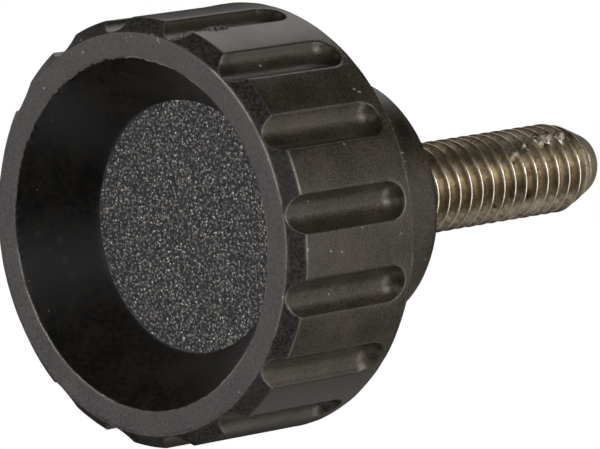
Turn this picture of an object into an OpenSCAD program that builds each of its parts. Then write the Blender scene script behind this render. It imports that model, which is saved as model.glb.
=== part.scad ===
// Knurled head screw: a moulded grip with ball-ended flutes, a dished front and a hub,
// moulded round the hexagon head of a threaded steel stud. It stands on the rim of its
// head, centred on the Z axis, with the stud pointing up.

/* [Grip] */
// Diameter over the lands between the flutes
grip_d = 18; // [16:0.5:22]
// Height of the grip, from its front rim to its rear edge
grip_h = 7; // [6.5:0.5:10]
// Bevel round the front of the grip
front_bevel = 0.6; // [0.5:0.05:0.9]
// Width of the flat rim round the dished front
rim_w = 1.05; // [0.8:0.05:1.3]

/* [Dished front] */
// Depth of the dish below the rim
dish_depth = 3; // [2:0.1:3]
// Diameter of the flat floor of the dish
dish_floor_d = 10.6; // [8:0.1:11]

/* [Flutes] */
// Number of flutes round the grip
flute_count = 16; // [8:1:18]
// Width of a flute across its open side
flute_w = 1.57; // [1.2:0.01:1.8]
// Plain band left between the flutes and the rear edge
flute_stop = 0.42; // [0.3:0.02:1.5]
// Step of the bevel kept between a flute's floor and the front rim
flute_rim_step = 0.05; // [0.02:0.01:0.15]

/* [Hub] */
// Diameter of the hub behind the grip
hub_d = 10.7; // [9.5:0.1:13]
// Height of the hub, up to the face that bears on the work
hub_h = 5.5; // [3:0.5:10]
// Rounding of the hub's outer edge
hub_edge_r = 0.25; // [0.1:0.05:0.5]
// Fillet between the hub and the back of the grip
hub_root_r = 0.4; // [0.2:0.1:0.8]

/* [Stud] */
// Diameter over the crests of the thread
stud_d = 3.95; // [3.8:0.01:4]
// Length of thread that stands out of the hub
stud_out_l = 14.7; // [8:0.1:30]
// Length of the tapered tip
tip_l = 1.8; // [1:0.1:2.5]
// Diameter of the flat end of the tip
tip_d = 2.5; // [2:0.1:3]
// Diameter of the plain shank between the thread and the buried head
shank_d = 3.55; // [3.3:0.05:3.7]
// Length over which the thread runs out onto the shank, inside the hub
runout_l = 0.2; // [0.1:0.05:0.6]
// Width across the flats of the buried hexagon head
hex_flats = 7; // [6:0.5:8]
// Height of the buried hexagon head
hex_h = 2.8; // [2:0.1:3]
// Skin of plastic between the dish and the buried head
skin_t = 1.4; // [1:0.1:1.6]

/* [Hidden] */
$fn = 96;
grip_r = grip_d / 2;
rim_r = grip_r - front_bevel;
dish_r = rim_r - rim_w;
hub_r = hub_d / 2;
hub_face_z = grip_h + hub_h;
tip_z = hub_face_z + stud_out_l;
hex_z = dish_depth + skin_t;
shank_z = hex_z + hex_h;
hex_corner_r = hex_flats / 2 / cos(30);
// A flute is a ball-nosed groove: its floor, half chord and ball radius follow one another
flute_floor_r = grip_r - front_bevel + flute_rim_step;
flute_chord_r = sqrt(grip_r * grip_r - flute_w * flute_w / 4);
flute_rise = flute_chord_r - flute_floor_r;
flute_ball_r = (flute_w * flute_w / 4 + flute_rise * flute_rise) / (2 * flute_rise);
flute_axis_r = flute_floor_r + flute_ball_r;
// The ball's cut on the lands stops at the plain band
flute_nose = sqrt(flute_ball_r * flute_ball_r - (flute_axis_r - grip_r) * (flute_axis_r - grip_r));
flute_ball_z = grip_h - flute_stop - flute_nose;
// How far a cutting shape runs past the face it opens
past = 1;

// Half section of the grip and hub, solid right through
module head_section() {
  polygon([[0, 0], [rim_r, 0], [grip_r, front_bevel], [grip_r, grip_h], [0, grip_h]]);
  difference() {
    translate([0, grip_h - front_bevel])
      square([hub_r + hub_root_r, front_bevel + hub_root_r]);
    translate([hub_r + hub_root_r, grip_h + hub_root_r])
      circle(r = hub_root_r);
  }
  translate([0, grip_h - front_bevel])
    square([hub_r, hub_h + front_bevel - hub_edge_r]);
  square([hub_r - hub_edge_r, hub_face_z]);
  translate([hub_r - hub_edge_r, hub_face_z - hub_edge_r])
    circle(r = hub_edge_r);
}

// Half section of the dish, taken out of the front
module dish_section() {
  polygon([
    [0, -past],
    [dish_r, -past],
    [dish_r, 0],
    [dish_floor_d / 2, dish_depth],
    [0, dish_depth]
  ]);
}

// One flute: a round groove open at the front, with a ball end at the rear
module flute() {
  translate([flute_axis_r, 0, 0])
    rotate_extrude()
      union() {
        translate([0, -past])
          square([flute_ball_r, flute_ball_z + past]);
        translate([0, flute_ball_z])
          intersection() {
            circle(r = flute_ball_r);
            square(flute_ball_r);
          }
      }
}

// The stud: buried hexagon head, plain shank, thread from the hub's face and tapered tip
module stud_form() {
  translate([0, 0, hex_z])
    cylinder(r = hex_corner_r, h = hex_h, $fn = 6);
  translate([0, 0, shank_z])
    cylinder(d = shank_d, h = hub_face_z - runout_l - shank_z);
  translate([0, 0, hub_face_z - runout_l])
    cylinder(d1 = shank_d, d2 = stud_d, h = runout_l);
  translate([0, 0, hub_face_z])
    cylinder(d = stud_d, h = stud_out_l - tip_l);
  translate([0, 0, tip_z - tip_l])
    cylinder(d1 = stud_d, d2 = tip_d, h = tip_l);
}

// The moulded head: grip, dish, flutes and hub in one piece
module head() {
  color([0.10, 0.10, 0.10])
    difference() {
      rotate_extrude()
        difference() {
          head_section();
          dish_section();
        }
      for (turn = [0 : flute_count - 1])
        rotate([0, 0, 270 + turn * 360 / flute_count])
          flute();
      stud_form();
    }
}

// The steel stud
module stud() {
  color([0.55, 0.52, 0.46])
    stud_form();
}

head();
stud();
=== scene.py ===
import bpy
import math
import numpy as np
from mathutils import Matrix, Vector, noise


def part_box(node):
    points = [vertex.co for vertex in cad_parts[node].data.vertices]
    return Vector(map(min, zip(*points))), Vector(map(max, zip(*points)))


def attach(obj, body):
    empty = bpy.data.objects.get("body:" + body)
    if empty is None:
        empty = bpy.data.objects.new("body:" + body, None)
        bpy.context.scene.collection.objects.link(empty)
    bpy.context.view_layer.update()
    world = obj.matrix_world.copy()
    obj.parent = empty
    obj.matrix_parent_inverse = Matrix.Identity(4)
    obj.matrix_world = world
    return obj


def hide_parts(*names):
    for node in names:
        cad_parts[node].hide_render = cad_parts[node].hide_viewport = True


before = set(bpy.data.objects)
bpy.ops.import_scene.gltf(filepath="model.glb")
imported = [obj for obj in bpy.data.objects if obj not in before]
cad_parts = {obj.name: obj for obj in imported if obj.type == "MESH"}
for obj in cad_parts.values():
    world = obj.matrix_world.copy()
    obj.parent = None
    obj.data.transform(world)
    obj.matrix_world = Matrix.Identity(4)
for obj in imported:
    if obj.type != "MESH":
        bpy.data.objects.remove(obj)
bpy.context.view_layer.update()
print("frame loaded:", sorted(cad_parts))

mm = 0.001  # all sizes below are in millimetres
headLow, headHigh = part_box("head")
studLow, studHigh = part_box("stud")
gripR = headHigh.x / mm
hubFaceZ = headHigh.z / mm
tipZ = studHigh.z / mm
hexZ = studLow.z / mm
hexCornerR = studHigh.x / mm


# small helpers

def smoothMax(a, b, soft):  # larger of two fields, with the corner between them rounded
    h = np.maximum(soft - np.abs(a - b), 0.0)
    return np.maximum(a, b) + h * h / (4.0 * soft)


def smoothMin(a, b, soft):
    return -smoothMax(-a, -b, soft)


def smoothStep(x, low, high):
    t = np.clip((x - low) / (high - low), 0.0, 1.0)
    return t * t * (3.0 - 2.0 * t)


def noiseAt(points, scale, offset=0.0):  # smooth noise from -1 to 1 at each point
    move = Vector((offset, offset * 0.7, offset * 1.3))
    return np.array([noise.noise(Vector(p) * scale + move) for p in points])


def spread(distances, total):  # positions from 0 to total, close together at both ends
    near = [0.0] + list(distances)
    return near + [total - d for d in reversed(near)]


def turnFrom(turns, middle):  # signed turn from the middle, between -pi and pi
    return (turns - middle + math.pi) % (2 * math.pi) - math.pi


def hexagonRadii(turns):  # outline of the buried hexagon
    flatR = hexCornerR * math.cos(math.radians(30))
    return flatR / np.cos(turns % math.radians(60) - math.radians(30))


class MeshRings:  # collects points and the faces that join one ring of them to the next
    def __init__(self):
        self.points = []
        self.faces = []
        self.zones = []

    def ring(self, radii, turns, heights):
        first = len(self.points)
        for radius, turn, height in np.broadcast(radii, turns, heights):
            self.points.append((radius * math.cos(turn), radius * math.sin(turn), height))
        return list(range(first, len(self.points)))

    def face(self, corners, zone):
        self.faces.append(corners)
        self.zones.append(zone)

    def join(self, low, high, zone):
        count = len(low)
        for i in range(count):
            j = (i + 1) % count
            self.face((low[i], low[j], high[j], high[i]), zone)

    def joinHalf(self, wide, narrow, zone, widening):  # the narrow ring has half as many points
        count = len(narrow)
        for i in range(count):
            j = (i + 1) % count
            a, b, c = wide[2 * i], wide[2 * i + 1], wide[(2 * i + 2) % len(wide)]
            for corners in ((a, b, narrow[i]), (b, narrow[j], narrow[i]), (b, c, narrow[j])):
                self.face(corners[::-1] if widening else corners, zone)

    def close(self, ring, centre, zone):
        self.points.append(centre)
        last = len(self.points) - 1
        for i in range(len(ring)):
            self.face((ring[i], ring[(i + 1) % len(ring)], last), zone)


# head: form

headForm = {
    "bevel": 0.6,            # bevel round the front
    "rimWidth": 1.05,
    "gripHeight": 7.0,
    "dishDepth": 3.0,
    "dishFloorR": 5.3,
    "hubR": 5.35,
    "fluteCount": 16,
    "fluteWidth": 1.57,
    "fluteStop": 0.42,       # plain band behind the flutes
    "fluteRimStep": 0.05,
    "shankR": 1.775,         # hole that the buried shank fills
    "hexTop": 7.2,
    "softLand": 0.05,        # rounding: land to bevel
    "softRim": 0.045,
    "softFlute": 0.10,
    "softFluteFront": 0.05,  # the flutes' front edges are crisper
    "softRear": 0.07,
    "softHub": 0.30,
    "softRoot": 0.45,
    "softDishMouth": 0.035,
    "softDishFloor": 0.12,
    "grainDepth": 0.045,     # spark-eroded grain on the dish's floor
    "grainSize": 0.17,
    "grainScatter": 0.35,    # how far its peaks stray from an even pattern, in grain sizes
    "grainSwell": 0.18,      # slow rise and fall of the grain, as a share of its depth
    "raggedDepth": 0.085,    # torn edge where the dish meets the rim
    "raggedReach": (0.10, 0.12),  # how far the tear reaches over the rim and into the dish
    "raggedSide": 145,       # turn in degrees where the edge is most torn
    "flashHeight": 0.035,    # moulding flash on the rear edge
    "flashReach": (0.07, 0.05),   # how far it reaches over the band and over the back
    "unevenBroad": 0.012,    # slow unevenness of the moulding
    "unevenFine": 0.0025,
    "unevenSink": 0.010,     # keeps the uneven surface inside the true size
    # crumbs of torn plastic on the edges: radius, turn in degrees, height, size
    "crumbs": (
        (8.99, -152.9, 1.50, 0.06), (9.00, -152.7, 1.66, 0.09), (8.98, -152.9, 1.84, 0.075),
        (9.01, -152.4, 2.00, 0.10), (8.99, -152.6, 2.20, 0.08), (9.00, -152.2, 2.36, 0.10),
        (9.00, -152.0, 2.52, 0.06), (8.99, -152.7, 1.22, 0.04), (8.97, -152.6, 0.60, 0.06),
        (8.88, -153.1, 0.49, 0.075), (8.79, -153.6, 0.40, 0.06), (8.72, -154.2, 0.32, 0.08),
        (8.64, -154.9, 0.25, 0.06), (8.56, -155.6, 0.18, 0.075), (8.49, -156.4, 0.11, 0.05),
        (8.41, -151.6, 0.01, 0.045), (8.42, -150.4, 0.01, 0.055), (8.41, -149.4, 0.01, 0.04),
        (8.42, -163.5, 0.01, 0.06), (8.43, -164.0, 0.03, 0.04), (8.40, -67.4, 0.0, 0.04),
        (9.02, -101.8, 7.0, 0.045), (9.02, -99.4, 7.0, 0.04), (9.01, -118.5, 7.0, 0.03),
        (9.01, -111.0, 7.0, 0.035), (7.36, 150.0, 0.0, 0.045), (7.37, 139.0, 0.0, 0.05),
        (7.36, 161.0, 0.0, 0.04), (7.36, 131.0, 0.0, 0.035), (7.37, 171.0, 0.0, 0.04),
        (7.36, 62.0, 0.0, 0.03), (7.36, 40.0, 0.0, 0.03), (7.36, 78.0, 0.0, 0.03),
    ),
}

rimR = gripR - headForm["bevel"]
dishR = rimR - headForm["rimWidth"]
dishSlope = (dishR - headForm["dishFloorR"]) / headForm["dishDepth"]
dishCos = 1.0 / math.hypot(1.0, dishSlope)
sectorTurn = 2.0 * math.pi / headForm["fluteCount"]
firstFlute = math.radians(270)
fluteFloorR = rimR + headForm["fluteRimStep"]
fluteChordR = math.sqrt(gripR ** 2 - headForm["fluteWidth"] ** 2 / 4)
fluteRise = fluteChordR - fluteFloorR
fluteR = (headForm["fluteWidth"] ** 2 / 4 + fluteRise ** 2) / (2 * fluteRise)
fluteAxisR = fluteFloorR + fluteR
fluteNose = math.sqrt(fluteR ** 2 - (fluteAxisR - gripR) ** 2)
fluteBallZ = headForm["gripHeight"] - headForm["fluteStop"] - fluteNose
fluteEdgeAngle = math.acos((fluteAxisR ** 2 + fluteR ** 2 - gripR ** 2) / (2 * fluteAxisR * fluteR))
fluteHalfTurn = math.asin(headForm["fluteWidth"] / 2 / gripR)


def fluteField(r, turn, z):  # distance from the nearest flute's surface, less than 0 inside it
    fold = (turn - firstFlute + sectorTurn / 2) % sectorTurn - sectorTurn / 2
    past = np.maximum(z - fluteBallZ, 0.0)
    inward, across = r * np.cos(fold) - fluteAxisR, r * np.sin(fold)
    return np.sqrt(inward ** 2 + across ** 2 + past ** 2) - fluteR


def headField(p):  # signed distance to the moulding's surface, with every edge rounded
    x, y, z = p[:, 0], p[:, 1], p[:, 2]
    r = np.hypot(x, y)
    turn = np.arctan2(y, x)
    land = r - gripR
    bevel = (r - rimR - z) * math.sqrt(0.5)
    grip = smoothMax(land, bevel, headForm["softLand"])
    front, along = headForm["softFluteFront"], headForm["softFlute"]
    soft = front + (along - front) * smoothStep(z, 0.5, 1.1)
    grip = smoothMax(grip, -fluteField(r, turn, z), soft)
    grip = smoothMax(grip, -z, headForm["softRim"])
    grip = smoothMax(grip, z - headForm["gripHeight"], headForm["softRear"])
    hub = smoothMax(r - headForm["hubR"], z - hubFaceZ, headForm["softHub"])
    body = smoothMin(grip, hub, headForm["softRoot"])
    wall = (r - dishR + z * dishSlope) * dishCos
    hollow = smoothMax(wall, z - headForm["dishDepth"], headForm["softDishFloor"])
    return smoothMax(body, -hollow, headForm["softDishMouth"])


def fieldSlope(field, p, step=0.002):
    slope = np.zeros_like(p)
    for axis in range(3):
        move = np.zeros(3)
        move[axis] = step
        slope[:, axis] = (field(p + move) - field(p - move)) / (2 * step)
    return slope


def settleOn(field, p, rounds=6):  # slides every point onto the field's surface
    for _ in range(rounds):
        slope = fieldSlope(field, p)
        size = np.maximum((slope ** 2).sum(1), 0.25)
        p = p - (field(p) / size)[:, None] * slope
    return p


# head: mesh

zoneSide, zoneBevel, zoneRim, zoneWall, zoneFloor, zoneInner = range(6)


def headColumns():  # turn angles of the mesh's columns, across a flute and across a land
    arc = spread((0.03, 0.07, 0.13, 0.22, 0.34, 0.48, 0.62, 0.76, 0.9), 2 * fluteEdgeAngle * fluteR)
    arc.insert(10, fluteEdgeAngle * fluteR)
    swings = [a / fluteR - fluteEdgeAngle for a in arc][:-1]
    landArc = spread((0.03, 0.07, 0.15, 0.35, 0.65), (sectorTurn - 2 * fluteHalfTurn) * gripR)
    landArc.insert(6, landArc[5] + (landArc[6] - landArc[5]) / 2)
    lands = [a / gripR + fluteHalfTurn for a in landArc][:-1]
    return swings, lands


swings, lands = headColumns()
perSector = len(swings) + len(lands)
columnCount = perSector * headForm["fluteCount"]


def ballEdge(swing):  # tilt of the ball's meridian where it meets the lands, as a cosine
    reach = fluteAxisR * math.cos(swing)
    back = math.sqrt(max(0.0, reach ** 2 - fluteAxisR ** 2 + gripR ** 2))
    return min(1.0, (reach - back) / fluteR)


def buildHead():
    rings = MeshRings()
    grooveR, grooveTurn, ballTurn, ballZ, inFlute, even = [], [], [], [], [], []
    for s in range(headForm["fluteCount"]):
        middle = firstFlute + s * sectorTurn
        for i in range(perSector):
            even.append(middle - fluteHalfTurn + sectorTurn * i / perSector)
            if i < len(swings):
                across = fluteR * math.sin(swings[i])
                outward = fluteAxisR - fluteR * math.cos(swings[i])
                grooveR.append(math.hypot(outward, across))
                grooveTurn.append(middle + math.atan2(across, outward))
                c = ballEdge(swings[i])
                outward = fluteAxisR - fluteR * c * math.cos(swings[i])
                ballTurn.append(middle + math.atan2(fluteR * c * math.sin(swings[i]), outward))
                ballZ.append(fluteBallZ + fluteR * math.sqrt(max(0.0, 1 - c * c)))
                inFlute.append(i > 0)
            else:
                turn = middle + lands[i - len(swings)]
                grooveR.append(gripR)
                grooveTurn.append(turn)
                ballTurn.append(turn)
                ballZ.append(fluteBallZ)
                inFlute.append(False)
    columns = (grooveR, grooveTurn, ballTurn, ballZ, even)
    grooveR, grooveTurn, ballTurn, ballZ, even = map(np.array, columns)

    # floor of the dish, from its middle outward, in nearly square cells
    floorRings = []
    cell = headForm["dishFloorR"] * 2 * math.pi / columnCount
    r = headForm["dishFloorR"] - cell
    halving = 1
    fewest = 8
    while r > cell / 2:
        if r < headForm["dishFloorR"] * 0.7 / halving and columnCount // (halving * 2) >= fewest:
            halving *= 2
        floorRings.append((r, halving))
        r -= cell
    floorRings.reverse()
    inner = rings.ring(floorRings[0][0], even[::floorRings[0][1]], headForm["dishDepth"])
    rings.close(inner[::-1], (0.0, 0.0, headForm["dishDepth"]), zoneFloor)
    step = floorRings[0][1]
    for r, halving in floorRings[1:]:
        outer = rings.ring(r, even[::halving], headForm["dishDepth"])
        if halving != step:
            rings.joinHalf(outer, inner, zoneFloor, True)
        else:
            rings.join(inner, outer, zoneFloor)
        inner, step = outer, halving

    def nextRing(ring, radii, turns, heights, zone):
        new = rings.ring(radii, turns, heights)
        rings.join(ring, new, zone)
        return new

    # wall of the dish, rim and bevel
    ring = nextRing(inner, headForm["dishFloorR"], even, headForm["dishDepth"], zoneFloor)
    for t in (0.02, 0.05, 0.12, 0.22, 0.34, 0.46, 0.58, 0.7, 0.8, 0.88, 0.935, 0.965, 0.985):
        z = headForm["dishDepth"] * (1 - t)
        ring = nextRing(ring, dishR - z * dishSlope, even, z, zoneWall)
    for t in (0.0, 0.025, 0.06, 0.13, 0.27, 0.45, 0.64, 0.82, 0.93, 0.975, 1.0):
        blend = smoothStep(t, 0.25, 0.9)
        turns = even * (1 - blend) + grooveTurn * blend
        zone = zoneRim if t > 0 else zoneWall
        ring = nextRing(ring, dishR + (rimR - dishR) * t, turns, 0.0, zone)
    top = grooveR - rimR
    for t in (0.06, 0.18, 0.5, 0.82, 0.94, 1.0):
        ring = nextRing(ring, rimR + top * t, grooveTurn, top * t, zoneBevel)

    # straight part of the flutes and the lands between them
    length = fluteBallZ - top
    for t in spread((0.006, 0.02, 0.05, 0.12, 0.25), 1.0)[1:]:
        ring = nextRing(ring, grooveR, grooveTurn, top + length * t, zoneSide)

    # ball ends
    ballSteps = 10
    lower = list(ring)
    for k in range(1, ballSteps + 1):
        part = 1 - (1 - k / ballSteps) ** 1.4
        row = list(lower)
        for g in range(columnCount):
            if inFlute[g]:
                swing = swings[g % perSector]
                middle = firstFlute + (g // perSector) * sectorTurn
                tilt = math.acos(ballEdge(swing)) * part
                outward = fluteAxisR - fluteR * math.cos(tilt) * math.cos(swing)
                across = fluteR * math.cos(tilt) * math.sin(swing)
                turn = middle + math.atan2(across, outward)
                z = fluteBallZ + fluteR * math.sin(tilt)
                row[g] = rings.ring(math.hypot(outward, across), turn, z)[0]
        for g in range(columnCount):
            h = (g + 1) % columnCount
            if inFlute[g] and inFlute[h]:
                rings.face((lower[g], lower[h], row[h], row[g]), zoneSide)
            elif inFlute[g]:
                rings.face((lower[g], lower[h], row[g]), zoneSide)
            elif inFlute[h]:
                rings.face((lower[g], lower[h], row[h]), zoneSide)
        lower = row
    ring = lower

    # band behind the flutes, back of the grip, hub
    gripTop = headForm["gripHeight"]
    for t in (0.02, 0.06, 0.14, 0.3, 0.5, 0.7, 0.84, 0.92, 0.96, 0.98, 1.0):
        ring = nextRing(ring, gripR, ballTurn, ballZ + (gripTop - ballZ) * t, zoneSide)
    fillet, filletGap, hubEdge = 0.4, 0.1, 0.25
    rootR = headForm["hubR"] + fillet + filletGap
    for t in (0.012, 0.03, 0.1, 0.3, 0.55, 0.8, 1.0):
        blend = smoothStep(t, 0.05, 0.9)
        turns = ballTurn * (1 - blend) + even * blend
        ring = nextRing(ring, gripR + (rootR - gripR) * t, turns, gripTop, zoneSide)
    narrow = even[::2]
    new = rings.ring(rootR - filletGap, narrow, gripTop)
    rings.joinHalf(ring, new, zoneSide, False)
    ring = new
    for swing in range(1, 8):
        a = math.radians(90) * swing / 7
        z = gripTop + fillet * (1 - math.cos(a))
        ring = nextRing(ring, rootR - filletGap - fillet * math.sin(a), narrow, z, zoneSide)
    for t in (0.15, 0.3, 0.45, 0.6, 0.75, 0.88, 0.94):
        z = gripTop + fillet + (hubFaceZ - gripTop - fillet) * t
        ring = nextRing(ring, headForm["hubR"], narrow, z, zoneSide)
    for swing in range(0, 7):
        a = math.radians(90) * swing / 6
        reach = headForm["hubR"] - hubEdge * (1 - math.cos(a))
        ring = nextRing(ring, reach, narrow, hubFaceZ - hubEdge * (1 - math.sin(a)), zoneSide)
    for r in (4.6, 3.9, 3.2, 2.7, 2.3, 2.0, 1.85):
        ring = nextRing(ring, r, narrow, hubFaceZ, zoneSide)
    outside = len(rings.points)

    # pocket that the buried shank and hexagon fill
    hexR = hexagonRadii(narrow)
    for radii, z in ((headForm["shankR"], hubFaceZ), (headForm["shankR"], headForm["hexTop"]),
                     (hexR, headForm["hexTop"]), (hexR, hexZ)):
        ring = nextRing(ring, radii, narrow, z, zoneInner)
    rings.close(ring, (0.0, 0.0, hexZ), zoneInner)
    return rings, outside


def addCrumb(rings, radius, turn, height, size):  # a small uneven lump sunk in the surface
    a = math.radians(turn)
    height = max(height, 1.25 * size)  # never below the rim
    middle = Vector((radius * math.cos(a), radius * math.sin(a), height))
    rows = []
    for tilt in (-60, -20, 20, 60):
        row = []
        for swing in range(0, 360, 45):
            t, w = math.radians(tilt), math.radians(swing)
            way = Vector((math.cos(t) * math.cos(w), math.cos(t) * math.sin(w), math.sin(t)))
            reach = size * (1 + 0.9 * noise.noise(middle * 9 + way * 1.3))
            rings.points.append(tuple(middle + way * reach))
            row.append(len(rings.points) - 1)
        rows.append(row)
    for low, high in zip(rows, rows[1:]):
        rings.join(low, high, zoneSide)
    rings.close(rows[-1], tuple(middle + Vector((0, 0, size))), zoneSide)
    rings.close(rows[0][::-1], tuple(middle - Vector((0, 0, size))), zoneSide)


print("building the head:", columnCount, "columns")
headRings, outsideCount = buildHead()
crumbStart = len(headRings.points)
for crumb in headForm["crumbs"]:
    addCrumb(headRings, *crumb)


def rimTear(turn):  # how far the torn edge of the dish bites into the rim at each turn
    ringPoints = np.c_[np.cos(turn), np.sin(turn), np.zeros_like(turn)]
    fine = noiseAt(ringPoints, 34.0, 3.1)
    broad = noiseAt(ringPoints, 8.0, 8.4)
    torn = smoothStep(np.cos(turn - math.radians(headForm["raggedSide"])), 0.3, 0.9)
    return headForm["raggedDepth"] * (fine * (0.45 + 0.8 * torn) + 0.35 * broad)


def dressHead(rings, outside):
    p = np.array(rings.points)
    outer = settleOn(headField, p[:outside].copy())
    slope = fieldSlope(headField, outer)
    normal = slope / np.maximum(np.linalg.norm(slope, axis=1), 1e-6)[:, None]
    r = np.hypot(outer[:, 0], outer[:, 1])
    z = outer[:, 2]
    turn = np.arctan2(outer[:, 1], outer[:, 0])

    edge = edgeAmount(outer)

    # grain on the dish's floor: close blunt peaks of uneven height between sharp pits
    nearFloor = np.abs(z - headForm["dishDepth"]) < 0.3
    onFloor = smoothStep(headForm["dishFloorR"] - r, -0.02, 0.07) * nearFloor
    grain = np.zeros(len(outer))
    size = headForm["grainSize"]
    for i in np.nonzero(onFloor > 0)[0]:
        x, y = outer[i, 0], outer[i, 1]
        stray = Vector((noise.noise((x * 13, y * 13, 1)), noise.noise((x * 13, y * 13, 7)), 0))
        spot = (Vector((x, y, 0)) + stray * size * headForm["grainScatter"]) / size
        near, cells = noise.voronoi(spot, distance_metric="DISTANCE", exponent=2.5)
        tall = 0.5 + 0.5 * noise.cell(cells[0] * 7.3)
        swell = headForm["grainSwell"] * noise.noise((x * 3, y * 3, 3))
        grain[i] = max(0.0, 1 - near[0] * 1.5) * (0.35 + 0.65 * tall) + swell
    outer[:, 2] -= onFloor * grain * headForm["grainDepth"]

    # torn edge round the dish
    across, deep = headForm["raggedReach"]
    nearMouth = np.exp(-((r - dishR) / across) ** 2) * np.exp(-(z / deep) ** 2)
    tear = rimTear(turn)
    outer[:, 0] += np.cos(turn) * tear * nearMouth
    outer[:, 1] += np.sin(turn) * tear * nearMouth

    # flash on the rear edge of the grip
    across, deep = headForm["flashReach"]
    nearRear = np.exp(-((z - headForm["gripHeight"]) / deep) ** 2)
    nearRear = nearRear * np.exp(-((r - gripR) / across) ** 2)
    flash = 0.45 + 0.55 * noiseAt(np.c_[np.cos(turn), np.sin(turn), turn * 0], 11.0, 5.2)
    outward = outer[:, :2] / r[:, None].clip(0.1)
    outer[:, :2] += outward * (headForm["flashHeight"] * flash * nearRear)[:, None]

    # slow unevenness of the moulding
    uneven = noiseAt(outer, 0.55, 2.0) * headForm["unevenBroad"]
    uneven = uneven + noiseAt(outer, 2.6, 4.0) * headForm["unevenFine"] - headForm["unevenSink"]
    outer += normal * (uneven * (1 - onFloor))[:, None] * (z > 0.001)[:, None]
    p[:outside] = outer
    wearAndSheen = np.zeros(len(p))
    wearAndSheen[:outside] = edge
    wearAndSheen[crumbStart:] = crumbWear
    return p, {"wearAndSheen": wearAndSheen}


wornAndLitEdges = {  # how pale each edge is all round, then extra stretches: from turn, to turn, amount; partly rubbing, partly painted highlight along the edges
    "rim": (0.18, ((-140, -92, 0.82), (-92, -55, 0.35))),
    "mouth": (0.08, ((22, 92, 0.85), (-46, -20, 0.6), (118, 176, 0.12), (-176, -136, 0.5),
                     (-100, -62, 0.6))),
    "landFront": (0.12, ((-109, -94, 0.9), (-86, -76, 0.5), (-58, -50, 0.3))),
    "fluteFront": (0.26, ()),
    "fluteSide": (0.02, ()),
    "rear": (0.25, ((-126, -94, 1.15), (-94, -58, 0.35))),
}
paleEdgeWidth = 0.025        # millimetres that the rubbing and the painted edge highlight reach on each side of an edge
crumbWear = 0.3


def rubbedAndLit(name, turn):
    allRound, stretches = wornAndLitEdges[name]
    amount = np.full_like(turn, allRound)
    for start, end, extra in stretches:
        middle, half = math.radians(start + end) / 2, math.radians(end - start) / 2
        away = np.abs(turnFrom(turn, middle))
        amount += extra * smoothStep(half - away, -0.01, 0.05)
    return np.minimum(amount, 1.0)


def edgeAmount(p):  # pale along the edges, from rubbing and painted highlight, 0 on open surface
    r = np.hypot(p[:, 0], p[:, 1])
    turn = np.arctan2(p[:, 1], p[:, 0])
    z = p[:, 2]
    flute = np.abs(fluteField(r, turn, z))
    land = np.abs(r - gripR)
    bevel = np.abs(r - rimR - z) * math.sqrt(0.5)
    wall = np.abs(r - dishR + z * dishSlope) * dishCos
    gaps = {
        "rim": np.maximum(bevel, np.abs(z)),
        "mouth": np.maximum(wall, np.abs(z)),
        "landFront": np.maximum(land, bevel),
        "fluteFront": np.maximum(flute, bevel),
        "fluteSide": np.maximum(flute, land),
        "rear": np.maximum(land, np.abs(z - headForm["gripHeight"])),
    }
    amounts = [np.exp(-(gap / paleEdgeWidth) ** 2) * rubbedAndLit(name, turn) for name, gap in gaps.items()]
    return np.maximum.reduce(amounts)


headPoints, headMasks = dressHead(headRings, outsideCount)


def addObject(name, data):
    thing = bpy.data.objects.new(name, data)
    bpy.context.scene.collection.objects.link(thing)
    return thing


def makePiece(name, points, faces, zones, masks):
    mesh = bpy.data.meshes.new(name)
    mesh.from_pydata([tuple(q * mm) for q in points], [], [tuple(f) for f in faces])
    mesh.polygons.foreach_set("use_smooth", [True] * len(mesh.polygons))
    mesh.polygons.foreach_set("material_index", zones)
    for maskName, values in masks.items():
        layer = mesh.attributes.new(maskName, "FLOAT", "POINT")
        layer.data.foreach_set("value", np.asarray(values, np.float32))
    mesh.validate()
    mesh.update()
    print("  ", name, len(points), "points", len(faces), "faces")
    return addObject(name, mesh)


headPiece = makePiece("flutedHead", headPoints, headRings.faces, headRings.zones, headMasks)
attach(headPiece, "root")
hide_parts("head")


# stud: form

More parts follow.
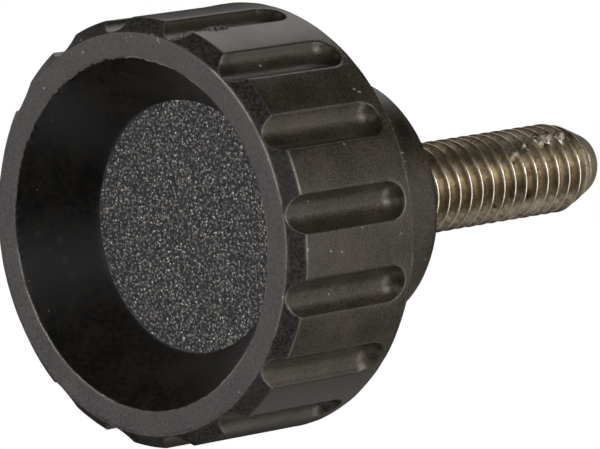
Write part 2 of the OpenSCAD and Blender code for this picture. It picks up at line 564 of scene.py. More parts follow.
studForm = {
    "crestR": 1.975,
    "rootR": 1.58,
    "crestSoft": 0.05,
    "rootSoft": 0.12,
    "pitch": 0.7,
    "crestZ": 17.508,        # height of a crest at the turn below
    "crestTurn": math.radians(268.17),
    "crestFlat": 0.062,      # half width of the crest, in pitches
    "tipStart": 25.4,
    "tipR": 1.25,
    "tipSoft": 0.3,
    "shankR": 1.775,
    "hexTop": 7.2,
    "threadStart": 12.3,
    "threadFull": 12.9,
    "columns": 160,
    # spots on the thread: turn in degrees, height, half width in degrees, half height, amount
    "scuffsAndHighlights": (
        # pale patches: scuffed metal, and painted highlights where facets of the thread would catch
        # the lamps
        (-138, 23.4, 8, 0.2, 1.2), (-134, 24.1, 11, 0.24, 1.3), (-129, 24.9, 9, 0.22, 1.3),
        (-124, 22.4, 6, 0.14, 0.9), (-128, 23.0, 7, 0.18, 0.8), (-118, 21.5, 4, 0.12, 1.0),
        (-137, 21.4, 14, 0.4, 0.5), (-145, 22.6, 18, 0.9, 0.45), (-82, 24.0, 10, 0.25, 0.5),
        (-8, 21.6, 30, 1.4, 0.7), (-20, 23.8, 26, 1.1, 0.7), (-14, 19.2, 24, 1.0, 0.55),
        (-16, 17.0, 20, 1.0, 0.4), (-45, 23.4, 16, 0.8, 0.4), (-10, 15.0, 16, 1.0, 0.3),
    ),
    "stainsAndShade": (
        (-74, 21.2, 8, 0.2, 2.0), (-65, 21.1, 7, 0.2, 1.8), (-52, 22.15, 8, 0.2, 1.7),
        (-46, 20.2, 4, 0.12, 1.6), (-32, 21.9, 5, 0.15, 1.2), (-60, 24.6, 7, 0.15, 0.4),
        (-86, 22.4, 4, 0.1, 0.5), (-28, 19.6, 4, 0.1, 0.6), (-105, 23.5, 6, 0.15, 0.5),
        # broad spots from here on: darker at the thread's top, and painted shade on its lower flank
        # round turns -60 to -20
        (-152, 16.5, 22, 2.6, 0.25), (-150, 20.5, 20, 1.8, 0.3), (-160, 24.0, 16, 1.8, 0.3),
        (-55, 18.2, 18, 0.8, 0.35), (-58, 15.4, 16, 0.8, 0.35),
        (-24, 15.4, 30, 3.0, 0.55), (-26, 19.4, 26, 2.2, 0.4),
    ),
    # crests where the painted crest highlight is left off, as those crests face away from the lamps
    "unlitCrests": ((-150, 19.0, 26, 4.0, 0.8), (-150, 24.0, 26, 3.0, 0.9)),
    "dentDepth": 0.03,       # of the scuffed patches
    "dentSize": 4.0,         # dents in a millimetre
    # flat nicks across the crests: turn in degrees, height, half width in degrees, half height
    "nicks": (
        (-140, 23.44, 6, 0.17), (-138, 24.05, 8, 0.34), (-135, 24.88, 8, 0.26),
        (-126, 22.35, 4, 0.12), (-131, 23.65, 5, 0.22), (-118, 21.5, 3, 0.09),
    ),
    "nickSlope": 0.5,
    "nickFade": (-1.55, -0.55),  # from none to full, in half sizes of the nick
    "nickBite": 0.75,        # share of the flat that the metal is beaten down to
    # how strongly the nicks are painted pale: scuffing and painted highlight
    "nickScuff": 1.4,
}


def threadRadius(phase):  # phase in pitches, 0 on a crest
    away = np.abs((phase + 0.5) % 1.0 - 0.5)
    depth = (away - studForm["crestFlat"]) * studForm["pitch"] / math.tan(math.radians(30))
    flank = smoothMin(studForm["crestR"] - depth, studForm["crestR"], studForm["crestSoft"])
    return smoothMax(flank, studForm["rootR"], studForm["rootSoft"])


def spotMask(turns, heights, spots):  # 1 at the middle of each spot, falling off round it
    mask = np.zeros(len(turns))
    for turn, z, wide, tall, amount in spots:
        off = np.abs(turnFrom(turns, math.radians(turn))) / math.radians(wide)
        mask = np.maximum(mask, amount * np.exp(-off ** 2 - ((heights - z) / tall) ** 2))
    return mask


def buildStud():
    rings = MeshRings()
    n = studForm["columns"]
    turns = np.arange(n) * 2 * math.pi / n
    hexR = hexagonRadii(turns)

    def nextRing(ring, radii, heights):
        new = rings.ring(radii, turns, heights)
        rings.join(ring, new, 0)
        return new

    base = rings.ring(hexR, turns, hexZ)
    rings.close(base[::-1], (0.0, 0.0, hexZ), 0)
    ring = nextRing(base, hexR, studForm["hexTop"])
    ring = nextRing(ring, studForm["shankR"], studForm["hexTop"])
    ring = nextRing(ring, studForm["shankR"], studForm["threadStart"])

    # rows follow the helix, and are held between the shank and the end face
    phases = (-0.5, -0.45, -0.4, -0.35, -0.29, -0.18, -0.085, -0.05,
              -0.02, 0.02, 0.05, 0.085, 0.18, 0.29, 0.37, 0.44)
    pitch = studForm["pitch"]
    endSlope, endLength = 1.6, 1.6  # of the rows past the tip, which close in over the end face
    lead = (turns - studForm["crestTurn"]) / (2 * math.pi)
    firstTurn = math.floor((studForm["threadStart"] - studForm["crestZ"]) / pitch) - 1
    lastTurn = math.ceil((tipZ + endLength - studForm["crestZ"]) / pitch) + 1
    crest = []
    start = len(rings.points)
    rows = []
    for k in range(firstTurn, lastTurn):
        for phase in phases:
            zFree = studForm["crestZ"] + pitch * (k + phase + lead)
            z = smoothMin(np.maximum(zFree, studForm["threadStart"]), tipZ, studForm["tipSoft"])
            r = threadRadius(np.full(n, phase))
            run = smoothStep(zFree, studForm["threadStart"], studForm["threadFull"])
            r = studForm["shankR"] + (r - studForm["shankR"]) * run
            fall = (studForm["crestR"] - studForm["tipR"]) / (tipZ - studForm["tipStart"])
            taper = studForm["crestR"] - np.maximum(zFree - studForm["tipStart"], 0.0) * fall
            r = smoothMin(r, np.maximum(taper, 0.3), 0.03)
            past = np.maximum(zFree - tipZ, 0.0)
            r = np.where(past > 0, np.maximum(studForm["tipR"] - past * endSlope, 0.0), r)
            belowTip = smoothStep(-zFree, 0.6 - tipZ, 1.4 - tipZ)
            crown = smoothStep(-np.abs(phase), -0.10, -0.05) * run * belowTip
            rows.append(rings.ring(r, turns, z))
            crest.extend(crown)
    helixJoin(rings, rows, len(phases))
    crown = np.zeros(len(rings.points))
    crown[start:start + len(crest)] = crest
    points, faces, kept = mergeDoubles(np.array(rings.points), rings.faces)
    turns, heights = np.arctan2(points[:, 1], points[:, 0]), points[:, 2]
    # less painted crest highlight on the unlit crests
    crown = crown[kept] * (1 - spotMask(turns, heights, studForm["unlitCrests"]))
    scuffAndHighlight, stainAndShade = (spotMask(turns, heights, studForm[name]) for name in ("scuffsAndHighlights", "stainsAndShade"))
    dents = np.minimum(scuffAndHighlight, 1) * np.maximum(noiseAt(points, studForm["dentSize"], 7.3) + 0.4, 0)
    radii = np.maximum(np.hypot(points[:, 0], points[:, 1]), 0.5)
    beaten = radii - studForm["dentDepth"] * dents
    for turn, z, wide, tall in studForm["nicks"]:
        wide = math.radians(wide)
        off = turnFrom(turns, math.radians(turn)) / wide
        inside = smoothStep(-np.hypot(off, (heights - z) / tall), *studForm["nickFade"])
        flat = studForm["crestR"] - 0.02 - studForm["nickSlope"] * radii * wide * (off + 0.8)
        beaten += (np.minimum(flat, studForm["crestR"]) - beaten) * inside * studForm["nickBite"]
        scuffAndHighlight = np.maximum(scuffAndHighlight, studForm["nickScuff"] * inside)
        crown = crown * (1 - inside)
    points[:, :2] *= (beaten / radii)[:, None]
    return points, faces, {"crest": crown, "scuffAndHighlight": scuffAndHighlight, "stainAndShade": stainAndShade}


def mergeDoubles(points, faces):  # joins points in the same place and drops the faces that vanish
    _, kept, moved = np.unique(np.round(points, 5), axis=0, return_index=True, return_inverse=True)
    moved = moved.ravel()
    left = []
    for corners in faces:
        ring = [moved[c] for c in corners]
        ring = [c for i, c in enumerate(ring) if c != ring[i - 1]]
        if len(set(ring)) == len(ring) > 2:
            left.append([int(c) for c in ring])
    return points[kept], left, kept


def helixJoin(rings, rows, perTurn):  # each row's end meets the start of the row one pitch on
    for i in range(len(rows) - 1):
        low, high = rows[i], rows[i + 1]
        for c in range(len(low) - 1):
            rings.face((low[c], low[c + 1], high[c + 1], high[c]), 0)
        if i + perTurn + 1 < len(rows):
            nextLow, nextHigh = rows[i + perTurn], rows[i + perTurn + 1]
            rings.face((low[-1], nextLow[0], nextHigh[0], high[-1]), 0)


print("building the stud")
studPoints, studFaces, studMasks = buildStud()
studPiece = makePiece("threadedStud", studPoints, studFaces, [0] * len(studFaces), studMasks)
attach(studPiece, "root")
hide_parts("stud")


# surface effects

def newGroup(name, inputs, outputs):
    group = bpy.data.node_groups.new(name, "ShaderNodeTree")
    for label, kind, start in inputs:
        socket = group.interface.new_socket(name=label, in_out="INPUT", socket_type=kind)
        socket.default_value = start
    for label, kind in outputs:
        group.interface.new_socket(name=label, in_out="OUTPUT", socket_type=kind)
    return group, group.nodes.new("NodeGroupInput"), group.nodes.new("NodeGroupOutput")


def setSockets(tree, node, sockets):  # a link where the value is another node's output
    for key, value in sockets.items():
        if hasattr(value, "is_output"):
            tree.links.new(value, node.inputs[key])
        else:
            node.inputs[key].default_value = value
    return node


def addNode(tree, kind, settings=None, **sockets):  # sockets by name, or as i0, i1 by place
    node = tree.nodes.new(kind)
    for key, value in (settings or {}).items():
        setattr(node, key, value)
    keys = [int(key[1:]) if key[1:].isdigit() else key.replace("_", " ") for key in sockets]
    return setSockets(tree, node, dict(zip(keys, sockets.values())))


def mathNode(tree, operation, a, b=0.0, c=0.0, clamp=False):
    settings = {"operation": operation, "use_clamp": clamp}
    return addNode(tree, "ShaderNodeMath", settings, i0=a, i1=b, i2=c).outputs[0]


def vectorNode(tree, operation, a, output=0, **sockets):
    node = addNode(tree, "ShaderNodeVectorMath", {"operation": operation}, i0=a, **sockets)
    return node.outputs[output]


def mixColour(tree, factor, a, b):
    return addNode(tree, "ShaderNodeMix", {"data_type": "RGBA"}, i0=factor, i6=a, i7=b).outputs[2]


def mixNumber(tree, factor, a, b):
    return addNode(tree, "ShaderNodeMix", {"data_type": "FLOAT"}, i0=factor, i2=a, i3=b).outputs[0]


def rangeNode(tree, value, low, high, outLow=0.0, outHigh=1.0):
    node = addNode(tree, "ShaderNodeMapRange", {"interpolation_type": "SMOOTHSTEP"}, Value=value)
    ends = {"From Min": low, "From Max": high, "To Min": outLow, "To Max": outHigh}
    return setSockets(tree, node, ends).outputs[0]


def maskNode(tree, mask):  # a mask that the mesh carries
    return addNode(tree, "ShaderNodeAttribute", {"attribute_name": mask}).outputs["Fac"]


def millimetres(tree):  # object coordinates in millimetres
    coordinates = addNode(tree, "ShaderNodeTexCoord")
    return vectorNode(tree, "SCALE", coordinates.outputs["Object"], Scale=1 / mm)


def noiseNode(tree, vector, scale, detail=3.0, rough=0.5):
    node = addNode(tree, "ShaderNodeTexNoise", None, Vector=vector, Scale=scale,
                   Detail=detail, Roughness=rough)
    return node.outputs[0]


def putOut(group, given, out, mask, under, over):  # one colour over another, where the mask is 1
    colour = mixColour(group, mask, given.outputs[under], given.outputs[over])
    group.links.new(colour, out.inputs["Colour"])
    group.links.new(mask, out.inputs["Mask"])


def makeMottle():  # cloudy shift between two colours
    group, given, out = newGroup(
        "mouldingMottle",
        (("Dark", "NodeSocketColor", (0, 0, 0, 1)), ("Light", "NodeSocketColor", (1, 1, 1, 1)),
         ("Broad", "NodeSocketFloat", 0.4), ("Fine", "NodeSocketFloat", 6.0),
         ("Share", "NodeSocketFloat", 0.7)),
        (("Colour", "NodeSocketColor"), ("Mask", "NodeSocketFloat")))
    place = millimetres(group)
    broad = noiseNode(group, place, given.outputs["Broad"], 2.0)
    fine = noiseNode(group, place, given.outputs["Fine"], 4.0, 0.65)
    mask = rangeNode(group, mixNumber(group, given.outputs["Share"], broad, fine), 0.36, 0.64)
    putOut(group, given, out, mask, "Dark", "Light")
    return group


def makeWearAndSheen():  # pale along edges: scuffing, and painted highlight
    group, given, out = newGroup(
        "edgeWearAndSheen",
        (("Colour", "NodeSocketColor", (0, 0, 0, 1)), ("Worn", "NodeSocketColor", (1, 1, 1, 1)),
         ("Amount", "NodeSocketFloat", 0.5), ("Patches", "NodeSocketFloat", 1.5)),
        (("Colour", "NodeSocketColor"), ("Mask", "NodeSocketFloat")))
    edge = maskNode(group, "wearAndSheen")
    place = millimetres(group)
    broad = noiseNode(group, place, given.outputs["Patches"], 3.0, 0.7)
    patches = rangeNode(group, broad, 0.38, 0.56, 0.45, 1.0)
    broken = rangeNode(group, noiseNode(group, place, 14.0, 2.0), 0.35, 0.55, 0.5, 1.0)
    mask = mathNode(group, "MULTIPLY", mathNode(group, "MULTIPLY", edge, patches), broken)
    mask = mathNode(group, "MULTIPLY", mask, given.outputs["Amount"], clamp=True)
    putOut(group, given, out, mask, "Colour", "Worn")
    return group


def makeSpecks():  # sparse pale dust
    group, given, out = newGroup(
        "dustSpecks",
        (("Colour", "NodeSocketColor", (0, 0, 0, 1)), ("Speck", "NodeSocketColor", (1, 1, 1, 1)),
         ("Spacing", "NodeSocketFloat", 1.2), ("Size", "NodeSocketFloat", 0.06)),
        (("Colour", "NodeSocketColor"), ("Mask", "NodeSocketFloat")))
    place = millimetres(group)
    cells = addNode(group, "ShaderNodeTexVoronoi", None, Vector=place,
                    Scale=given.outputs["Spacing"])
    spot = mathNode(group, "LESS_THAN", cells.outputs["Distance"], given.outputs["Size"])
    few = mathNode(group, "GREATER_THAN", noiseNode(group, place, 0.8, 1.0), 0.53)
    mask = mathNode(group, "MULTIPLY", spot, few)
    putOut(group, given, out, mask, "Colour", "Speck")
    return group


def makeMark():  # one uneven pale mark round a given place, sizes in millimetres
    group, given, out = newGroup(
        "paleMark",
        (("Centre", "NodeSocketVector", (0, 0, 0)), ("Size", "NodeSocketVector", (1, 1, 1)),
         ("Amount", "NodeSocketFloat", 1.0)),
        (("Mask", "NodeSocketFloat"),))
    place = millimetres(group)
    away = vectorNode(group, "SUBTRACT", place, i1=given.outputs["Centre"])
    shrunk = vectorNode(group, "DIVIDE", away, i1=given.outputs["Size"])
    far = vectorNode(group, "LENGTH", shrunk, "Value")
    ragged = mathNode(group, "MULTIPLY_ADD", noiseNode(group, place, 9.0, 3.0, 0.7), 1.2, -0.6)
    mask = rangeNode(group, mathNode(group, "ADD", far, ragged), 1.1, 0.5)
    group.links.new(mathNode(group, "MULTIPLY", mask, given.outputs["Amount"]), out.inputs["Mask"])
    return group


def makeTooth():  # fine roughness of the mould's surface, as a height
    group, given, out = newGroup(
        "surfaceTooth",
        (("Fine", "NodeSocketFloat", 18.0), ("Coarse", "NodeSocketFloat", 5.0)),
        (("Height", "NodeSocketFloat"),))
    place = millimetres(group)
    fine = noiseNode(group, place, given.outputs["Fine"], 3.0, 0.6)
    coarse = noiseNode(group, place, given.outputs["Coarse"], 2.0)
    fine, coarse = mathNode(group, "MULTIPLY", fine, 0.6), mathNode(group, "MULTIPLY", coarse, 0.4)
    group.links.new(mathNode(group, "ADD", fine, coarse), out.inputs["Height"])
    return group


print("building the surface effects")
mottleGroup, wearAndSheenGroup, speckGroup, toothGroup = makeMottle(), makeWearAndSheen(), makeSpecks(), makeTooth()
markGroup = makeMark()


def placeGroup(tree, group, **sockets):
    node = tree.nodes.new("ShaderNodeGroup")
    node.node_tree = group
    return setSockets(tree, node, sockets)


def addMarks(tree, colour, marks, paint):
    for radius, turn, height, wide, tall, amount in marks:
        a = math.radians(turn)
        centre = (radius * math.cos(a), radius * math.sin(a), height)
        mark = placeGroup(tree, markGroup, Centre=centre, Size=(wide, wide, tall), Amount=amount)
        colour = mixColour(tree, mark.outputs["Mask"], colour, paint)
    return colour


def newMaterial(name):
    material = bpy.data.materials.new(name)
    material.use_nodes = True
    material.node_tree.nodes.clear()
    return material, material.node_tree


def finishOff(tree, colour, rough, height, bumpStrength, metal=0.0, shine=0.5, tint=(1, 1, 1, 1)):
    bump = addNode(tree, "ShaderNodeBump", None, Strength=bumpStrength, Distance=0.05 * mm,
                   Height=height)
    shader = addNode(tree, "ShaderNodeBsdfPrincipled", None, Base_Color=colour, Metallic=metal,
                     Roughness=rough, Specular_IOR_Level=shine, Specular_Tint=tint,
                     Normal=bump.outputs[0])
    out = tree.nodes.new("ShaderNodeOutputMaterial")
    tree.links.new(shader.outputs[0], out.inputs["Surface"])


# head: finish

headFinish = {
    "side": {
        "dark": (0.0210, 0.0170, 0.0115, 1), "light": (0.062, 0.0505, 0.0350, 1),
        "rough": (0.30, 0.40), "shine": 0.7, "tint": (1, 0.915, 0.81, 1),
        "mottle": 12.0, "share": 0.7, "specks": 0.04, "bump": 0.30, "fine": 11.0,
        # marks and stains as radius, turn in degrees, height, width, length, amount
        "marks": (
            (9.0, -80.7, 0.66, 0.10, 0.10, 0.5), (9.0, -79.4, 2.01, 0.07, 0.07, 0.6),
            (9.0, -78.7, 2.66, 0.07, 0.07, 0.5), (9.0, -121.6, 5.93, 0.07, 0.11, 0.5),
            (9.0, -120.6, 6.12, 0.07, 0.12, 0.5), (8.47, -137.0, 2.56, 0.07, 0.07, 1.0),
            (8.5, -116.4, 5.1, 0.06, 0.06, 0.6), (9.0, -106.6, 3.9, 0.07, 0.07, 0.4),
            (9.0, -101.9, 7.0, 0.09, 0.09, 0.7), (9.0, -99.5, 7.0, 0.08, 0.08, 0.6),
        ),
        "stainsAndShade": (
            (5.35, -121, 11.7, 0.8, 0.45, 0.7), (5.35, -112, 11.3, 0.5, 0.5, 0.5),
            (5.35, -132, 10.6, 0.6, 0.5, 0.4),
        ),
    },
    "bevel": {
        "dark": (0.005, 0.0045, 0.004, 1), "light": (0.050, 0.044, 0.038, 1),
        "rough": (0.45, 0.62), "shine": 0.5, "tint": (1, 1, 1, 1),
        "mottle": 7.5, "share": 0.85, "specks": 0.06, "bump": 0.7, "fine": 8.0,
        "marks": (), "stainsAndShade": (),
    },
    "rim": {
        "dark": (0.023, 0.019, 0.0185, 1), "light": (0.100, 0.084, 0.081, 1),
        "rough": (0.5, 0.62), "shine": 0.5, "tint": (1, 1, 1, 1),
        "mottle": 7.0, "share": 0.75, "specks": 0.045, "bump": 0.30, "fine": 8.0,
        "marks": (
            (8.0, 167, 0, 0.06, 0.3, 0.9), (7.9, 146, 0, 0.06, 0.3, 0.9),
            (8.40, -67.4, 0, 0.09, 0.3, 0.9), (8.17, -174, 0, 0.06, 0.3, 0.35),
            (8.05, -173.4, 0, 0.05, 0.3, 0.3), (8.22, -171.9, 0, 0.06, 0.3, 0.35),
            (8.3, -161.2, 0, 0.08, 0.3, 0.5), (8.2, -160.4, 0, 0.06, 0.3, 0.4),
        ),
        "stainsAndShade": (),
    },
    "wall": {
        # painted shade: the dish's wall painted much darker than the same plastic elsewhere
        "dark": (0.008, 0.007, 0.006, 1), "light": (0.022, 0.019, 0.016, 1),
        "rough": (0.36, 0.46), "shine": 0.5, "tint": (1, 1, 1, 1),
        "mottle": 4.0, "share": 0.6, "specks": 0.03, "bump": 0.06, "fine": 8.0,
        "marks": (
            (6.82, 94.7, 0.77, 0.16, 0.16, 0.045), (6.32, 91.3, 1.51, 0.22, 0.16, 0.05),
            (6.59, 88.1, 1.11, 0.14, 0.20, 0.04), (6.28, 83.4, 1.56, 0.2, 0.16, 0.045),
            (6.19, 77.0, 1.70, 0.14, 0.2, 0.04),
        ),
        "stainsAndShade": (),
    },
}
plasticFinish = {            # the same on every moulded face
    "clouds": 0.6,           # of the mottle, in a millimetre
    "dustSpacing": 1.3,
    "wearSheenPatches": 0.45,
    "wearSheenAmount": 1.0,
}
grainAndGlints = {
    # painted light on the dish's floor: the black plastic painted light grey for its sheen,
    # near-white painted glints on the peaks, painted shade in the pits
    "pitShade": (0.006, 0.0055, 0.005, 1),
    "face": (0.178, 0.164, 0.155, 1),
    "glintPeak": (1.0, 0.97, 0.93, 1),
    "rough": 0.45,
    "cells": 7.6,            # peaks in a millimetre
    "dull": 0.48,            # share of the peaks that don't shine
    "softShine": 0.34,       # how much those peaks still shine
    "wander": 0.22,          # millimetres that the pattern strays
    # each from none to full, as the distance from the middle of a grain cell falls
    "faceReach": (0.60, 0.25),
    "peakReach": (0.34, 0.14),
    "tooth": (12.0, 6.0),
    "bump": 1.0,
}
# pale of edges from rubbing, also painted highlight along edges that face the lamps
wearAndHighlightColour = (0.66, 0.62, 0.57, 1.0)
dustColour = (0.48, 0.46, 0.42, 1.0)
stainColour = (0.012, 0.010, 0.008, 1.0)


def mouldedPlastic(name, finish):
    material, tree = newMaterial(name)
    mottle = placeGroup(tree, mottleGroup, Dark=finish["dark"], Light=finish["light"],
                        Broad=plasticFinish["clouds"], Fine=finish["mottle"],
                        Share=finish["share"])
    specks = placeGroup(tree, speckGroup, Colour=mottle.outputs["Colour"], Speck=dustColour,
                        Spacing=plasticFinish["dustSpacing"], Size=finish["specks"])
    wornAndSheen = placeGroup(tree, wearAndSheenGroup, Colour=specks.outputs["Colour"], Worn=wearAndHighlightColour,
                      Amount=plasticFinish["wearSheenAmount"], Patches=plasticFinish["wearSheenPatches"])
    colour = addMarks(tree, wornAndSheen.outputs["Colour"], finish["stainsAndShade"], stainColour)
    colour = addMarks(tree, colour, finish["marks"], dustColour)
    tooth = placeGroup(tree, toothGroup, Fine=finish["fine"], Coarse=finish["fine"] / 3)
    low, high = finish["rough"]
    rough = rangeNode(tree, mottle.outputs["Mask"], 0.0, 1.0, low, high)
    finishOff(tree, colour, rough, tooth.outputs["Height"], finish["bump"],
              0.0, finish["shine"], finish["tint"])
    return material


def grainAndGlintPlastic(name, finish):
    material, tree = newMaterial(name)
    place = millimetres(tree)
    wander = addNode(tree, "ShaderNodeTexNoise", None, Vector=place, Scale=4.0, Detail=2.0)
    moved = vectorNode(tree, "MULTIPLY_ADD", wander.outputs["Color"],
                       i1=(finish["wander"],) * 3, i2=place)
    cells = addNode(tree, "ShaderNodeTexVoronoi", None, Vector=moved, Scale=finish["cells"])
    near = cells.outputs["Distance"]
    pick = addNode(tree, "ShaderNodeSeparateColor", None, Color=cells.outputs["Color"])
    face = rangeNode(tree, near, *finish["faceReach"])
    glintPeak = rangeNode(tree, near, *finish["peakReach"])
    shine = rangeNode(tree, pick.outputs[0], finish["dull"], 1.0)
    soft = rangeNode(tree, pick.outputs[1], 0.2, 1.0, 0.0, finish["softShine"])
    glint = mathNode(tree, "MULTIPLY", glintPeak, mathNode(tree, "MAXIMUM", shine, soft))
    # painted shade in the pits, painted sheen on the face, painted glints on the peaks
    colour = mixColour(tree, face, finish["pitShade"], finish["face"])
    colour = mixColour(tree, glint, colour, finish["glintPeak"])
    fine, coarse = finish["tooth"]
    tooth = placeGroup(tree, toothGroup, Fine=fine, Coarse=coarse)
    height = mathNode(tree, "MULTIPLY_ADD", near, -1.0, tooth.outputs["Height"])
    finishOff(tree, colour, finish["rough"], height, finish["bump"])
    return material


plastics = [mouldedPlastic("plastic_" + zone, finish) for zone, finish in headFinish.items()]
plastics += [grainAndGlintPlastic("plastic_grain_glints", grainAndGlints), plastics[0]]
for plastic in plastics:  # in the order of the zones
    headPiece.data.materials.append(plastic)


# stud: finish

studFinish = {
    "flank": (0.43, 0.34, 0.215, 1.0),    # towards the crest; darker than the root, painted light and shade by radius in the thread
    "root": (0.66, 0.55, 0.39, 1.0),
    "tarnish": (0.20, 0.155, 0.085, 1.0),
    # cream of the crest lines: rubbing and painted highlight
    "crest": (1.0, 0.91, 0.74, 1.0),
    # cream of the scuffed patches, raised as painted highlight
    "scuffAndHighlight": (0.88, 0.79, 0.64, 1.0),
    "tip": (0.38, 0.315, 0.235, 1.0),
    # dark of the stained spots and of the painted shade
    "stainAndShade": (0.045, 0.022, 0.012, 1.0),
    "rough": (0.30, 0.46),
    "tipMetal": 0.6,
    "scuffMetal": 0.6,
    "scuffRough": 0.54,
    "dullRough": 0.62,
    "flankReach": (1.60, 1.90),           # radii from the root's colour to the flank's
    "tipReach": (2.0, 1.1),               # millimetres below the end, from none of the tip's to all
    "tarnishShare": 0.8,
    "tooth": (12.0, 4.0),
    "bump": 0.25,
}


def tarnishedSteel(name, finish):
    material, tree = newMaterial(name)
    place = millimetres(tree)
    parts = addNode(tree, "ShaderNodeSeparateXYZ", None, Vector=place)
    across = vectorNode(tree, "MULTIPLY", place, i1=(1, 1, 0))
    radius = vectorNode(tree, "LENGTH", across, "Value")
    # lighter roots and darker flanks: painted light and shade by radius
    outer = rangeNode(tree, radius, *finish["flankReach"])
    colour = mixColour(tree, outer, finish["root"], finish["flank"])
    cloud = rangeNode(tree, noiseNode(tree, place, 2.0, 6.0, 0.7), 0.42, 0.62)
    cloud = mathNode(tree, "MULTIPLY", cloud, finish["tarnishShare"])
    colour = mixColour(tree, cloud, colour, finish["tarnish"])
    gritty = noiseNode(tree, place, 5.0, 4.0, 0.7)
    start, full = finish["tipReach"]
    nearTip = rangeNode(tree, parts.outputs["Z"], tipZ - start, tipZ - full)
    tipMask = mathNode(tree, "MULTIPLY", nearTip, rangeNode(tree, gritty, 0.40, 0.60, 0.35, 1.0))
    colour = mixColour(tree, tipMask, colour, finish["tip"])
    crest, scuffAndHighlight, stainAndShade = (maskNode(tree, mask) for mask in ("crest", "scuffAndHighlight", "stainAndShade"))
    # stained spots, and painted shade from the broad spots
    stained = mathNode(tree, "MULTIPLY", stainAndShade, rangeNode(tree, gritty, 0.38, 0.56, 0.25, 1.0))
    freckles = rangeNode(tree, noiseNode(tree, place, 3.4, 3.0, 0.6), 0.64, 0.72, 0.0, 0.8)
    colour = mixColour(tree, mathNode(tree, "MAXIMUM", stained, freckles), colour, finish["stainAndShade"])
    # crest lines painted cream: rubbing and painted highlight
    rubbedAndHighlight = rangeNode(tree, noiseNode(tree, place, 3.0, 3.0), 0.3, 0.6, 0.55, 1.0)
    crestHighlight = mathNode(tree, "MULTIPLY", crest, rubbedAndHighlight)
    colour = mixColour(tree, crestHighlight, colour, finish["crest"])
    # scuffed patches painted cream: scuffing and painted highlight
    wornAndSheen = mathNode(tree, "MULTIPLY", scuffAndHighlight, rangeNode(tree, gritty, 0.42, 0.58, 0.15, 1.0))
    colour = mixColour(tree, wornAndSheen, colour, finish["scuffAndHighlight"])
    metal = rangeNode(tree, tipMask, 0.0, 1.0, 1.0, finish["tipMetal"])
    metal = rangeNode(tree, wornAndSheen, 0.0, 1.0, metal, finish["scuffMetal"])
    low, high = finish["rough"]
    rough = rangeNode(tree, noiseNode(tree, place, 4.0, 4.0, 0.7), 0.3, 0.7, low, high)
    rough = rangeNode(tree, tipMask, 0.0, 1.0, rough, finish["dullRough"])
    rough = rangeNode(tree, wornAndSheen, 0.0, 1.0, rough, finish["scuffRough"])
    fine, coarse = finish["tooth"]
    tooth = placeGroup(tree, toothGroup, Fine=fine, Coarse=coarse)
    finishOff(tree, colour, rough, tooth.outputs["Height"], finish["bump"], metal)
    return material


studPiece.data.materials.append(tarnishedSteel("tarnished_steel", studFinish))
print("materials made")


# camera

cameraView = {
    "pictureWidth": 600,       # pixels
    # centre of the head's front rim, right and up from the picture's middle
    "rimCentre": (-160.59, -10.28),
    "pixelsPerMm": 24.214,     # at the rim's centre
    "distance": 312.4,         # millimetres, along the view
    "azimuth": -1.816,
    "elevation": -45.555,      # the screw stands on its head, so its dish is seen from below
    "roll": 80.624,
}


def pictureAxes(view):  # right, up and toward-the-viewer directions of the picture
    a, e, roll = (math.radians(view[key]) for key in ("azimuth", "elevation", "roll"))
    toward = Vector((math.sin(a) * math.cos(e), -math.cos(a) * math.cos(e), math.sin(e)))
    level = Vector((0, 0, 1)).cross(toward).normalized()
    above = toward.cross(level)
    right = level * math.cos(roll) + above * math.sin(roll)
    up = above * math.cos(roll) - level * math.sin(roll)
    return right, up, toward


def makeCamera(view):
    right, up, toward = pictureAxes(view)
    across, above = (value / view["pixelsPerMm"] for value in view["rimCentre"])
    data = bpy.data.cameras.new("camera")
    data.sensor_width = sensor = 36
    data.lens = sensor * view["distance"] * view["pixelsPerMm"] / view["pictureWidth"]
    data.clip_start, data.clip_end = 0.01, 10
    camera = addObject("camera", data)
    place = (toward * view["distance"] - right * across - up * above) * mm
    turn = Matrix((right, up, toward)).transposed().to_4x4()
    camera.matrix_world = Matrix.Translation(place) @ turn
    bpy.context.scene.camera = camera


makeCamera(cameraView)


# studio

studio = {
    "world": 0.015,            # how much the white surroundings light the screw
    "floorGap": 0.02,          # the floor lies this far under the rim
    "floorColour": (0.86, 0.86, 0.85, 1.0),
    "floorGlow": 0.55,         # keeps the floor pale under the soft lights
    "floorFade": (60, 190),    # millimetres from the screw over which the floor melts into white
    "boxDistance": 300,
    "boxes": {                 # direction as right, up, toward the viewer; size; watts
        "left": ((-1.0, 0.0, 0.4), 200, 0.414),
        "leftBack": ((-1.0, 0.0, -0.3), 200, 0.027),
        "leftUp": ((-1.0, 0.7, 0.3), 200, 0.045),
        "backLeft": ((-0.5, 0.2, -0.85), 120, 0.035),
        "leftLow": ((-0.7, -0.7, 0.3), 200, 0.095),
        "low": ((0.0, -1.0, 0.2), 200, 0.048),
        "lowRight": ((1.0, -0.6, 0.3), 200, 0.21),
        "lowBack": ((0.4, -0.6, -0.75), 200, 0.03),
        "right": ((1.0, 0.0, 0.3), 200, 0.10),
        "nearRight": ((0.71, 0.18, 0.66), 90, 0.16),
        "farRight": ((0.9, 0.22, 0.4), 90, 0.145),
        "topBack": ((0.1, 1.0, -0.8), 200, 0.12),
        "front": ((0.0, 0.15, 1.0), 200, 0.10),
    },
}


def softBox(name, direction, size, watts):
    right, up, toward = pictureAxes(cameraView)
    aim = Vector((0, 0, tipZ / 2)) * mm
    away = (right * direction[0] + up * direction[1] + toward * direction[2]).normalized()
    data = bpy.data.lights.new(name, "AREA")
    data.shape, data.size, data.energy = "DISK", size * mm, watts
    place = aim + away * studio["boxDistance"] * mm
    turn = away.to_track_quat("Z", "Y").to_matrix().to_4x4()
    addObject(name, data).matrix_world = Matrix.Translation(place) @ turn


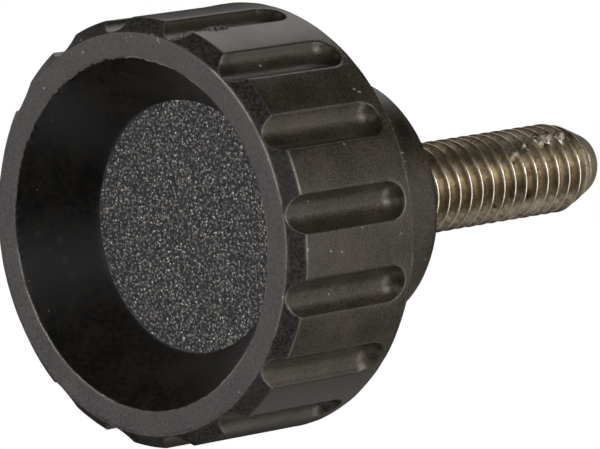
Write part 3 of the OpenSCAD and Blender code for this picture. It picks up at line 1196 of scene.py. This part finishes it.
def makeWorld(level):  # white to the eye, softer to light the screw
    world = bpy.data.worlds.new("studio")
    bpy.context.scene.world = world
    world.use_nodes = True
    tree = world.node_tree
    tree.nodes.clear()
    path = tree.nodes.new("ShaderNodeLightPath")
    strength = mixNumber(tree, path.outputs["Is Camera Ray"], level, 1.0)
    background = addNode(tree, "ShaderNodeBackground", None, Color=(1, 1, 1, 1), Strength=strength)
    out = tree.nodes.new("ShaderNodeOutputWorld")
    tree.links.new(background.outputs[0], out.inputs["Surface"])


def makeFloor(colour, fade):  # shows only from above, so the dish can be seen from below
    mesh = bpy.data.meshes.new("floor")
    reach = fade[1] * mm
    corners = [(-reach, -reach, 0), (reach, -reach, 0), (reach, reach, 0), (-reach, reach, 0)]
    mesh.from_pydata(corners, [], [(0, 1, 2, 3)])
    floor = addObject("floor", mesh)
    floor.location.z = -studio["floorGap"] * mm
    material, tree = newMaterial("floor")
    place = millimetres(tree)
    away = vectorNode(tree, "LENGTH", place, "Value")
    near = rangeNode(tree, away, fade[0], fade[1], 1.0, 0.0)
    path = tree.nodes.new("ShaderNodeLightPath")
    side = tree.nodes.new("ShaderNodeNewGeometry")
    above = mathNode(tree, "SUBTRACT", 1.0, side.outputs["Backfacing"])
    shown = mathNode(tree, "MULTIPLY", path.outputs["Is Camera Ray"], above)
    shown = mathNode(tree, "MULTIPLY", shown, near)
    paint = addNode(tree, "ShaderNodeBsdfDiffuse", None, Color=colour)
    glow = addNode(tree, "ShaderNodeEmission", None, Color=colour, Strength=studio["floorGlow"])
    lit = addNode(tree, "ShaderNodeAddShader", None, i0=paint.outputs[0], i1=glow.outputs[0])
    clear = tree.nodes.new("ShaderNodeBsdfTransparent")
    mix = addNode(tree, "ShaderNodeMixShader", None, i0=shown, i1=clear.outputs[0],
                  i2=lit.outputs[0])
    out = tree.nodes.new("ShaderNodeOutputMaterial")
    tree.links.new(mix.outputs[0], out.inputs["Surface"])
    mesh.materials.append(material)


for boxName, (direction, boxSize, watts) in studio["boxes"].items():
    softBox(boxName, direction, boxSize, watts)
makeWorld(studio["world"])
makeFloor(studio["floorColour"], studio["floorFade"])
bpy.context.scene.view_settings.view_transform = "Standard"
print("studio ready")
